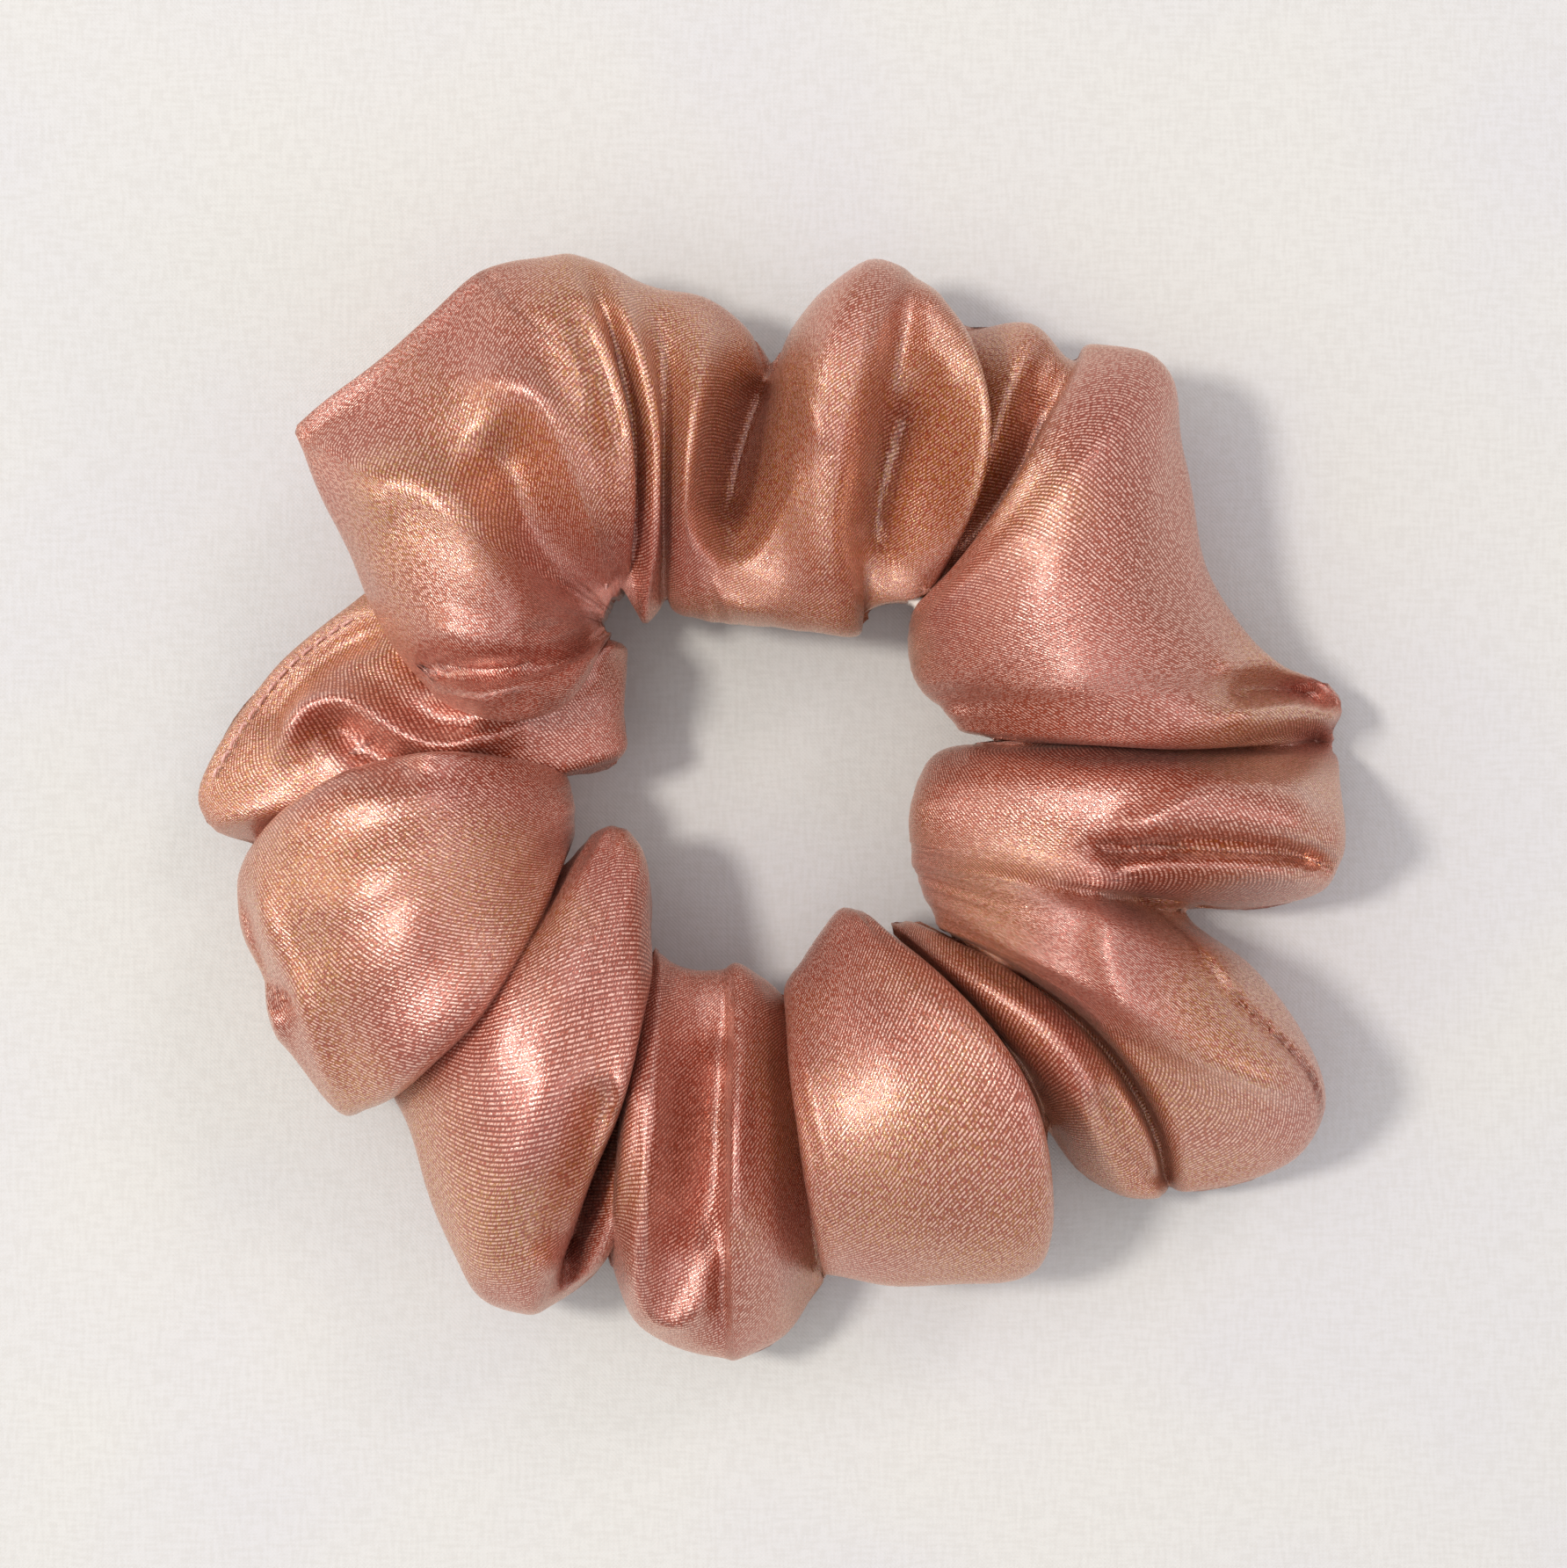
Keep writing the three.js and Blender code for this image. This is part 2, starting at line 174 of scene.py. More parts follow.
# Lines worked into the top of the cloth afterwards. A line is its points, then the rise and the
# width on its left, going along it, and those on its right where they differ.
CRESTS = [
    # big right-hand puff
    (
        ((32.6, -3.0), (38.2, 0.2), (42.4, 2.6), (47.0, 3.2), (51.6, 2.2), (57.0, -0.6)),
        2.4, 1.2, 2.4, 3.4,
    ),
    (((36.0, -4.6), (43.0, -5.0), (50.0, -5.2), (57.0, -6.4)), 1.2, 0.9, 1.2, 1.8),
    (
        (
            (33.2, -2.0), (33.0, -8.8), (32.9, -14.5), (35.6, -19.6),
            (41.3, -23.6), (47.0, -25.9), (55.0, -29.6),
        ),
        2.2, 4.0, 2.2, 1.1,
    ),
    (
        ((21.4, -14.3), (27.1, -17.5), (33.3, -20.8), (39.4, -24.1), (45.5, -26.3), (53.0, -29.2)),
        1.0, 2.0, -0.8, 1.5,
    ),
    # top right puff and its tail
    (((24.5, 40.0), (21.0, 31.5), (18.2, 24.5), (16.6, 19.0)), 0.9, 2.2),
    (((20.0, 11.5), (30.0, 12.3), (40.0, 11.8), (48.0, 10.5)), 0.6, 2.4),
    (((44.0, 14.2), (50.0, 15.6), (54.0, 15.2), (57.5, 13.6)), 3.0, 1.2, 3.0, 1.1),
    (((45.0, 9.6), (50.0, 10.4), (55.0, 10.6), (60.5, 9.4)), 3.2, 1.1),
    # top puff
    (((12.9, 39.5), (13.6, 44.0), (15.4, 46.6), (17.4, 45.4), (18.6, 41.0)), 0.8, 1.2),
    (((10.8, 50.0), (8.6, 42.0), (7.2, 35.6), (6.4, 28.0), (6.3, 22.0)), 1.2, 1.8),
    (((3.4, 42.0), (4.6, 39.0), (5.8, 36.8)), 1.1, 1.4),
    (
        (
            (-6.2, 47.0), (-7.2, 40.0), (-8.2, 33.0), (-7.8, 28.0), (-6.0, 26.2),
            (-3.4, 25.6), (-0.8, 27.0), (1.6, 31.0), (2.6, 36.0),
        ),
        1.5, 1.3,
    ),
    # the ridge beside the top left puff, and the edge of that puff
    (
        (
            (-20.5, 51.5), (-17.0, 52.0), (-14.4, 48.8), (-13.2, 44.8), (-12.9, 40.9),
            (-12.6, 36.9), (-12.3, 30.9), (-12.7, 24.9),
        ),
        1.4, 1.5,
    ),
    (((-23.5, 52.5), (-20.8, 47.5), (-18.3, 43.5), (-16.8, 38.0)), 0.8, 1.3),
    # top left puff
    (((-31.0, 44.0), (-24.5, 42.0), (-19.6, 37.0), (-17.4, 31.0), (-16.6, 25.0)), 1.6, 2.2),
    (((-43.0, 29.0), (-36.5, 33.5), (-30.5, 29.0), (-26.0, 22.6), (-21.5, 18.6)), 1.6, 3.2),
    (
        ((-13.4, 19.4), (-16.6, 17.4), (-20.4, 14.8), (-26.4, 12.2), (-31.0, 11.8), (-36.0, 12.8)),
        4.4, 1.3,
    ),
    (((-34.0, 19.0), (-28.5, 17.0), (-23.0, 17.8)), 1.0, 1.6),
    (((-46.5, 38.5), (-41.0, 33.0), (-37.0, 28.0)), 0.7, 2.8),
    # stitched fold
    (
        (
            (-24.0, 9.6), (-32.3, 7.0), (-36.4, 7.8), (-40.3, 10.2), (-43.5, 11.8),
            (-46.7, 11.4), (-48.6, 9.9), (-49.5, 7.5), (-48.6, 4.3),
        ),
        4.6, 1.5,
    ),
    (((-38.0, 15.5), (-44.0, 15.2), (-49.6, 12.6)), 0.6, 1.8),
    (((-16.4, 15.0), (-20.0, 12.6), (-24.5, 11.4)), 1.0, 1.2),
    # big left-hand puff
    (
        ((-52.4, -5.0), (-50.0, -12.0), (-47.2, -18.0), (-45.2, -25.0), (-43.6, -30.0)),
        1.8, 1.5,
    ),
    (((-51.0, -4.0), (-45.0, -0.8), (-38.0, 1.6), (-30.0, 2.8)), 0.5, 1.8),
    (((-53.6, -17.6), (-51.4, -19.0), (-50.2, -21.8), (-51.6, -24.4)), 2.6, 1.1),
    # lower left puff
    (
        ((-13.4, -24.0), (-14.8, -30.9), (-16.0, -39.0), (-17.8, -45.0), (-20.5, -49.0), (-24.0, -50.6)),
        3.8, 1.5, 3.8, 1.4,
    ),
    (((-20.0, -22.0), (-24.0, -32.0), (-27.6, -42.0), (-29.0, -49.0)), 1.0, 2.4),
    # bottom puff
    (
        (
            (-11.2, -18.0), (-11.7, -30.8), (-12.9, -43.1), (-13.0, -48.4), (-11.0, -51.6),
            (-8.0, -50.6), (-5.6, -45.0), (-4.0, -36.0), (-3.5, -28.0), (-3.3, -20.0),
        ),
        2.4, 1.4,
    ),
    # lower right puff
    (((2.8, -22.0), (4.0, -29.4), (5.4, -35.5), (6.1, -41.7), (7.2, -46.8)), 0.9, 1.4, -1.0, 1.0),
    (((14.0, -15.2), (19.8, -21.2), (25.0, -27.0), (26.6, -34.0), (26.6, -43.0)), 0.5, 1.8),
    # narrow rolled fold
    (
        (
            (13.6, -12.9), (21.4, -16.8), (27.9, -20.9), (31.2, -25.3),
            (31.9, -28.6), (32.9, -33.5), (35.2, -38.0),
        ),
        1.3, 1.4,
    ),
]
CREASES = [
    # big right-hand puff
    (
        ((32.6, -3.4), (38.0, -3.3), (44.0, -3.1), (50.0, -3.6), (54.0, -4.2), (58.5, -5.4)),
        -9.0, 0.9,
    ),
    (((32.4, -2.8), (34.2, -3.6), (35.8, -5.4)), -3.0, 1.2),
    (((34.2, -5.2), (39.6, -11.0), (45.6, -17.6), (52.0, -23.6)), -0.9, 1.3),
    # top right puff and its tail
    (((27.0, 44.0), (27.5, 36.0), (24.0, 27.0)), -0.8, 2.6),
    (((46.0, 12.2), (51.0, 13.0), (56.0, 12.8), (60.5, 11.6)), -5.0, 1.1),
    (((46.0, 7.0), (51.0, 8.0), (56.0, 8.2), (60.5, 7.2)), -2.2, 0.9),
    (((28.5, 48.5), (27.3, 45.0), (26.3, 41.0)), -1.4, 0.9),
    # top puff
    (((15.2, 43.0), (12.9, 38.0), (11.4, 32.4), (11.0, 25.0)), -3.6, 1.6),
    (((-5.2, 29.8), (-4.3, 36.1), (-2.0, 42.4), (-0.4, 45.6)), -4.2, 1.9),
    # beside the top left puff, and on it
    (((-18.9, 49.5), (-17.9, 46.5), (-16.4, 42.4), (-15.0, 36.0)), -2.2, 1.1),
    (((-29.0, 38.4), (-25.6, 34.4), (-23.4, 28.6), (-20.0, 23.0), (-16.6, 19.0)), -6.0, 4.6, -6.0, 3.0),
    (
        ((-36.5, 15.4), (-31.6, 14.3), (-26.2, 14.5), (-21.3, 15.2), (-18.0, 18.4), (-15.0, 22.4)),
        -8.0, 1.3, -8.0, 1.2,
    ),
    (((-27.0, 17.2), (-22.5, 18.5), (-18.0, 20.4)), -0.9, 0.8),
    # stitched fold
    (((-46.8, 8.0), (-43.6, 8.4), (-40.3, 5.8), (-34.0, 4.4)), -3.2, 1.6),
    (((-39.5, 20.2), (-45.8, 16.6), (-50.0, 12.4), (-53.0, 7.6)), -2.0, 1.5),
    # big left-hand puff
    (((-54.6, -16.8), (-51.4, -18.0), (-48.0, -19.0)), -2.2, 1.0),
    (((-54.6, -8.0), (-53.2, -12.5), (-51.4, -16.8)), -1.6, 0.9),
    # lower left puff
    (((-14.8, -26.0), (-17.8, -34.0), (-20.4, -40.0), (-22.4, -46.5)), -5.0, 1.9, -5.0, 2.4),
    # bottom puff
    (((-5.6, -22.0), (-5.9, -30.0), (-6.6, -38.0), (-7.8, -45.0)), -1.8, 1.5, -1.8, 2.4),
    # narrow rolled fold
    (((33.2, -27.0), (36.0, -33.0), (39.0, -37.0), (42.7, -39.4)), -2.6, 1.1),
]
LONG_SEAM = (
    (34.2, -4.0), (38.4, -8.0), (42.0, -12.0), (44.0, -15.0),
    (50.4, -21.8), (53.8, -25.2), (55.7, -28.4), (56.6, -32.0),
)
CROSS_SEAM = ((-29.6, 55.0), (-27.4, 52.6), (-24.6, 49.6), (-21.2, 46.8))
STITCHED_EDGE = ((-41.6, 21.4), (-46.4, 18.6), (-51.0, 14.6), (-54.8, 9.2), (-57.6, 4.4))


# ---- shaping the cloth tube ----
def height_over_the_top(heights, share):
    """The smooth curve through the three heights over the top of a fold line."""
    _, near, middle, far, _ = heights
    s = (np.clip(share, 0.05, 0.95) - 0.5) / 0.33
    return middle + s * (far - near) / 2 + s * s * ((far + near) / 2 - middle)


def fold_section(inner, outer, bows, heights):
    """The closed line once round the cloth tube at a fold: over the top inwards, back underneath."""
    turn = 2 * math.pi * np.arange(ROUND_STEPS) / ROUND_STEPS
    share = (1 + np.cos(turn)) / 2
    inner, outer = np.array(inner, float), np.array(outer, float)
    along = outer - inner
    length = np.linalg.norm(along)
    sideways = np.array([-along[1], along[0]]) / length
    bow = 6.75 * share * (1 - share) * (bows[0] * (1 - share) + bows[1] * share)
    plan = inner + share[:, None] * along + bow[:, None] * sideways
    edge = heights[0] + share * (heights[4] - heights[0])
    top = height_over_the_top(heights, share)
    under = np.clip(np.minimum(0.6 + 1.0 * (PUFF_TOP - top), top - 3), 0.5, 22)
    swell = np.abs(np.sin(turn)) ** 0.85
    level = np.where(turn <= math.pi, edge + (top - edge) * swell, edge + (under - edge) * swell)
    return np.column_stack([plan, level])


def smooth_loop(knots, places):
    """A closed Catmull-Rom curve through the knots, at the given places (0 to 1) by length."""
    spans = np.linalg.norm(np.roll(knots, -1, 0) - knots, axis=2).mean(1) ** 0.6
    ends = np.concatenate([[0], np.cumsum(spans)])
    where = places * ends[-1]
    k = np.clip(np.searchsorted(ends, where, side="right") - 1, 0, len(knots) - 1)
    s = ((where - ends[k]) / spans[k])[:, None, None]
    n = len(knots)
    p0, p1, p2, p3 = (knots[(k + d) % n] for d in (-1, 0, 1, 2))
    d0, d1, d2 = (spans[(k + d) % n][:, None, None] for d in (-1, 0, 1))
    m1 = ((p1 - p0) / d0 - (p2 - p0) / (d0 + d1) + (p2 - p1) / d1) * d1
    m2 = ((p2 - p1) / d1 - (p3 - p1) / (d1 + d2) + (p3 - p2) / d2) * d1
    return (
        (2 * s**3 - 3 * s**2 + 1) * p1
        + (s**3 - 2 * s**2 + s) * m1
        + (-2 * s**3 + 3 * s**2) * p2
        + (s**3 - s**2) * m2
    )


def smooth_path(points, count):
    """An open smooth line through the points, with its direction at every point."""
    p = np.array(points, float)
    ends = np.concatenate([[0], np.cumsum(np.linalg.norm(np.diff(p, axis=0), axis=1))])
    where = np.linspace(0, ends[-1], count)
    padded = np.vstack([2 * p[0] - p[1], p, 2 * p[-1] - p[-2]])
    k = np.clip(np.searchsorted(ends, where, side="right") - 1, 0, len(p) - 2)
    s = ((where - ends[k]) / (ends[k + 1] - ends[k]))[:, None]
    p0, p1, p2, p3 = (padded[k + d] for d in range(4))
    line = 0.5 * (
        2 * p1 + (p2 - p0) * s + (2 * p0 - 5 * p1 + 4 * p2 - p3) * s**2 + (3 * p1 - p0 - 3 * p2 + p3) * s**3
    )
    return line, np.gradient(line, axis=0)


def distance_to_line(plan, points, reach):
    """For each place: how far left (+) or right (-) of the line it is, and how far along (0 to 1)."""
    line, heading = smooth_path(points, LINE_STEPS)
    side = np.full(plan.shape[:-1], np.inf)
    along = np.zeros(plan.shape[:-1])
    low, high = line.min(0) - reach, line.max(0) + reach
    near = np.all((plan > low) & (plan < high), axis=-1)
    gap = plan[near][:, None, :] - line[None]
    far = (gap**2).sum(-1)
    best = far.argmin(1)
    rows = np.arange(len(best))
    offset, direction = gap[rows, best], heading[best]
    cross = direction[:, 0] * offset[:, 1] - direction[:, 1] * offset[:, 0]
    side[near] = np.copysign(np.sqrt(far[rows, best]), cross)
    along[near] = best / (len(line) - 1)
    return side, along


def falloff(side, width):
    """How much of a worked line is left beside it. Narrow lines come out sharper."""
    power = 1.5 if width < NARROW_LINE else 2
    return np.exp(-(np.abs(side / width) ** power))


def work_line(level, plan, strength, points, left_rise, left_width, right_rise=None, right_width=None):
    """Raises or presses the cloth along one line, fading out at the line's ends."""
    if right_rise is None:
        right_rise, right_width = left_rise, left_width
    side, along = distance_to_line(plan, points, 3.2 * max(left_width, right_width))
    left = left_rise * falloff(side, left_width)
    right = right_rise * falloff(side, right_width)
    share = 0.5 + 0.5 * np.tanh(np.clip(side, -9, 9) / 0.35)
    fade = np.clip(np.sin(math.pi * np.clip(along, 0.02, 0.98)) * 2.2, 0, 1)
    level += np.where(np.isfinite(side), (share * left + (1 - share) * right) * fade * strength, 0)


def gather_pleats(grid):
    """Fine pleats that start at the hole, where the elastic draws the cloth in, and fade outwards."""
    n, m = grid.shape[:2]
    rng = np.random.default_rng(7)
    place = np.arange(n) / n * 2 * math.pi
    wave = np.zeros(n)
    strength = np.zeros(n)
    for count in (83, 104, 131, 167):
        wave += np.sin(count * place + rng.uniform(0, 6.28)) * rng.uniform(0.6, 1.0)
    for count in (9, 14, 23):
        strength += np.sin(count * place + rng.uniform(0, 6.28))
    strength = np.clip(0.55 + 0.3 * strength, 0.12, 1.2)
    turn = np.arange(m) / m * 2 * math.pi
    from_hole = (1 + np.cos(turn)) / 2
    reach = np.exp(-((from_hole / 0.16) ** 1.4)) * (1 - 0.75 * np.exp(-((from_hole / 0.012) ** 2)))
    rise = 0.13 * (wave * strength)[:, None] * reach[None]
    below = np.exp(-(((turn - 1.42 * math.pi) / 0.7) ** 4))
    rise += 0.4 * (wave * np.clip(strength + 0.3, 0, 1))[:, None] * below[None]
    return grid + rise[..., None] * outward(grid)


def slow_ripples(grid):
    """Soft uneven waves a few millimetres long, all over the cloth."""
    n, m = grid.shape[:2]
    rng = np.random.default_rng(21)
    a = np.arange(n)[:, None] / n * 2 * math.pi
    b = np.arange(m)[None] / m * 2 * math.pi
    rise = np.zeros((n, m))
    for _ in range(46):
        along, around = rng.integers(18, 75), rng.integers(-9, 10)
        wave = np.sin(along * a + around * b + rng.uniform(0, 6.28))
        rise += wave * rng.uniform(0.4, 1.0) / math.sqrt(along)
    return grid + 0.16 * rise[..., None] * outward(grid)


def outward(grid):
    """The direction straight out of the cloth at every point."""
    along = np.roll(grid, -1, 0) - np.roll(grid, 1, 0)
    around = np.roll(grid, -1, 1) - np.roll(grid, 1, 1)
    way = np.cross(around, along)
    way /= np.maximum(np.linalg.norm(way, axis=2, keepdims=True), 1e-9)
    middle = grid.mean(1, keepdims=True)
    if ((grid - middle) * way).sum(-1).mean() < 0:
        way = -way
    return way


def even_steps(loop, count):
    """The same loop of sections, spaced evenly along the ring."""
    steps = np.linalg.norm(np.roll(loop, -1, 0) - loop, axis=2).mean(1)
    travelled = np.concatenate([[0], np.cumsum(steps)])
    wanted = np.arange(count) / count * travelled[-1]
    place = np.interp(wanted, travelled, np.arange(len(loop) + 1))
    low = place.astype(int)
    part = (place - low)[:, None, None]
    return loop[low % len(loop)] * (1 - part) + loop[(low + 1) % len(loop)] * part


def room_for_elastic(grid):
    """Keeps the cloth clear above and below the elastic that runs inside it."""
    m = grid.shape[1]
    half = m // 2
    radius = np.hypot(grid[..., 0] - RING_MIDDLE[0], grid[..., 1] - RING_MIDDLE[1])
    away = ((radius - ELASTIC_RADIUS) / 4.2) ** 2
    lowest = ELASTIC_TOP - 4 * away
    highest = ELASTIC_BOTTOM + 4 * away
    top, under = grid[:, 2 : half - 1, 2], grid[:, half + 2 : m - 1, 2]
    room = lowest[:, 2 : half - 1]
    top[:] = np.where(top > room + 1.5, top, 0.5 * (top + room + np.sqrt((top - room) ** 2 + 1)))
    room = highest[:, half + 2 : m - 1]
    under[:] = np.where(under < room - 1.5, under, 0.5 * (under + room - np.sqrt((under - room) ** 2 + 1)))
    return grid


def calm_underside(grid):
    """Evens out the underside along the ring: fully in its lower part, and less towards its two edges."""
    turn = 2 * math.pi * np.arange(grid.shape[1]) / grid.shape[1]
    amount = np.clip(-1.8 * np.sin(turn), 0, 1)[None, :, None]
    calm = grid.copy()
    for _ in range(CALM_PASSES):
        calm = (np.roll(calm, 1, 0) + 2 * calm + np.roll(calm, -1, 0)) / 4
    return grid + amount * (calm - grid)


def shaped_cover():
    """The outer skin of the cover, as sections round the tube, one after another along the ring."""
    knots = np.array([fold_section(*fold) for fold in FOLDS])
    grid = even_steps(smooth_loop(knots, np.linspace(0, 1, 4000, endpoint=False)), ALONG_STEPS)
    m = grid.shape[1]
    half = m // 2
    turn = 2 * math.pi * np.arange(half + 1) / m
    strength = np.clip(np.sin(turn) * 2.6, 0, 1)[None]
    top = grid[:, : half + 1]
    plan = top[..., :2].copy()
    for line in CRESTS + CREASES:
        work_line(top[..., 2], plan, strength, *line)
    work_line(top[..., 2], plan, strength, LONG_SEAM, 0.9, 1.4, -1.0, 0.8)
    work_line(top[..., 2], plan, strength, CROSS_SEAM, -0.35, 0.35, 0.1, 0.5)
    work_line(top[..., 2], plan, strength, STITCHED_EDGE, -0.5, 0.5)
    grid = calm_underside(grid)
    top = grid[:, : half + 1]
    underneath = grid[:, m - 1 : half : -1, 2]
    clearance = LEAST_PUFF * np.sin(turn[1:half]) ** 0.5
    underneath[:] = np.minimum(underneath, np.maximum(top[:, 1:half, 2] - clearance, LOWEST_UNDERSIDE))
    room_for_elastic(grid)
    return slow_ripples(gather_pleats(grid))


def keep_off_ground(grid):
    """Eases the lowest points up, so that the cloth rests on the table without going into it."""
    low = grid[..., 2]
    low[:] = np.where(low > GROUND_GAP + 1, low, GROUND_GAP + np.exp(np.minimum(low - GROUND_GAP - 1, 0)))
    return grid


def closeness(grid, points, width):
    """1 on the line and 0 away from it, on the top of the cloth only."""
    m = grid.shape[1]
    side, _ = distance_to_line(grid[..., :2], points, 4 * width)
    amount = np.exp(-((side / width) ** 2))
    amount[:, m // 2 + 1 :] = 0
    return np.where(np.isfinite(amount), amount, 0)


# ---- meshes ----
def add_piece(name, mesh):
    mesh.polygons.foreach_set("use_smooth", [True] * len(mesh.polygons))
    mesh.update()
    piece = bpy.data.objects.new(name, mesh)
    scene.collection.objects.link(piece)
    return piece


def ring_faces(n, m, first, inwards):
    index = first + np.arange(n * m).reshape(n, m)
    a, b = index, np.roll(index, -1, 0)
    corners = [a, np.roll(a, -1, 1), np.roll(b, -1, 1), b]
    if inwards:
        corners.reverse()
    return np.stack(corners, -1).reshape(-1, 4)


def signed_volume(grid):
    a, b = grid, np.roll(grid, -1, 0)
    c, d = np.roll(b, -1, 1), np.roll(a, -1, 1)
    return (a * np.cross(d, c)).sum() + (a * np.cross(c, b)).sum()


def cloth_coordinates(grid):
    """Where each corner of each face lies on the cloth: along the tube and around it, in metres."""
    n, m = grid.shape[:2]
    along = np.linalg.norm(np.roll(grid, -1, 0) - grid, axis=2).mean()
    around = np.linalg.norm(np.roll(grid, -1, 1) - grid, axis=2).mean()
    i, j = np.meshgrid(np.arange(n), np.arange(m), indexing="ij")
    corners = [((i + di) * along, (j + dj) * around) for di, dj in ((0, 0), (0, 1), (1, 1), (1, 0))]
    return np.stack([np.stack(corner, -1) for corner in corners], -2)


def cloth_tube(name, grid, marks):
    """The cover as cloth with two skins: the outer one fine, the inner one at half the steps."""
    outer = grid * MM
    inner = (grid - CLOTH_THICKNESS * outward(grid))[::2, ::2] * MM
    flip = signed_volume(grid) < 0
    n, m = grid.shape[:2]
    faces = np.vstack([ring_faces(n, m, 0, flip), ring_faces(n // 2, m // 2, n * m, not flip)])
    corners = np.vstack([outer.reshape(-1, 3), inner.reshape(-1, 3)])
    mesh = bpy.data.meshes.new(name)
    mesh.from_pydata(corners.tolist(), [], faces.tolist())
    places = []
    for part, reverse in ((grid, flip), (grid[::2, ::2], not flip)):
        uv = cloth_coordinates(part).reshape(-1, 4, 2) * MM
        places.append(uv[:, ::-1] if reverse else uv)
    layer = mesh.uv_layers.new(name="cloth")
    layer.data.foreach_set("uv", np.vstack(places).reshape(-1))
    for mark, amount in marks.items():
        values = np.concatenate([amount.reshape(-1), amount[::2, ::2].reshape(-1)])
        mesh.attributes.new(mark, "FLOAT", "POINT").data.foreach_set("value", values)
    return add_piece(name, mesh)


# ---- node helpers ----
class Nodes:
    """A short way to write node trees: add a node, give it settings, join it up."""

    def __init__(self, tree):
        self.tree = tree
        tree.nodes.clear()

    def add(self, kind, values=None, links=None, **settings):
        node = self.tree.nodes.new(kind)
        for key, value in settings.items():
            setattr(node, key, value)
        for key, value in (values or {}).items():
            node.inputs[key].default_value = value
        for key, source in (links or {}).items():
            self.tree.links.new(source, node.inputs[key])
        return node

    def math(self, operation, a, b=0.0, clamp=False):
        node = self.add("ShaderNodeMath", operation=operation, use_clamp=clamp)
        for socket, value in zip(node.inputs, (a, b)):
            if isinstance(value, (int, float)):
                socket.default_value = value
            else:
                self.tree.links.new(value, socket)
        return node.outputs[0]

    def mix(self, amount, a, b, blend="MIX"):
        node = self.add("ShaderNodeMix", data_type="RGBA", blend_type=blend)
        for key, value in ((0, amount), (6, a), (7, b)):
            if isinstance(value, (int, float, tuple)):
                node.inputs[key].default_value = value
            else:
                self.tree.links.new(value, node.inputs[key])
        return node.outputs[2]

    def noise(self, place, scale, detail=2.0, rough=0.5):
        values = {"Scale": scale, "Detail": detail, "Roughness": rough}
        return self.add("ShaderNodeTexNoise", values, {"Vector": place}).outputs["Fac"]

    def stretched(self, place, turn, scale):
        values = {"Rotation": (0, 0, turn), "Scale": scale}
        return self.add("ShaderNodeMapping", values, {"Vector": place}, vector_type="POINT").outputs[0]

    def split(self, vector):
        return self.add("ShaderNodeSeparateXYZ", links={"Vector": vector})

    def remap(self, value, low, high, to_low=0.0, to_high=1.0):
        node = self.add(
            "ShaderNodeMapRange",
            {"From Min": low, "From Max": high, "To Min": to_low, "To Max": to_high},
            {"Value": value},
            interpolation_type="SMOOTHSTEP",
        )
        return node.outputs[0]

    def bump(self, height, distance, strength=1.0, under=None):
        links = {"Height": height}
        if under:
            links["Normal"] = under
        node = self.add("ShaderNodeBump", {"Distance": distance, "Strength": strength}, links)
        return node.outputs[0]


def new_material(name):
    material = bpy.data.materials.new(name)
    material.use_nodes = True
    return material, Nodes(material.node_tree)


def colour(red, green, blue):
    """A colour given as it looks on a screen, 0 to 255."""
    screen = (red, green, blue)
    return tuple(((c / 255 + 0.055) / 1.055) ** 2.4 if c > 10.3 else c / 3294.6 for c in screen) + (1,)


def shaded(material, t, values, links):
    """Ends a material with one shader."""
    shader = t.add("ShaderNodeBsdfPrincipled", values, links)
    t.add("ShaderNodeOutputMaterial", links={"Surface": shader.outputs[0]})
    return material


# ---- the satin ----
THREAD_PITCH = 0.31 * MM


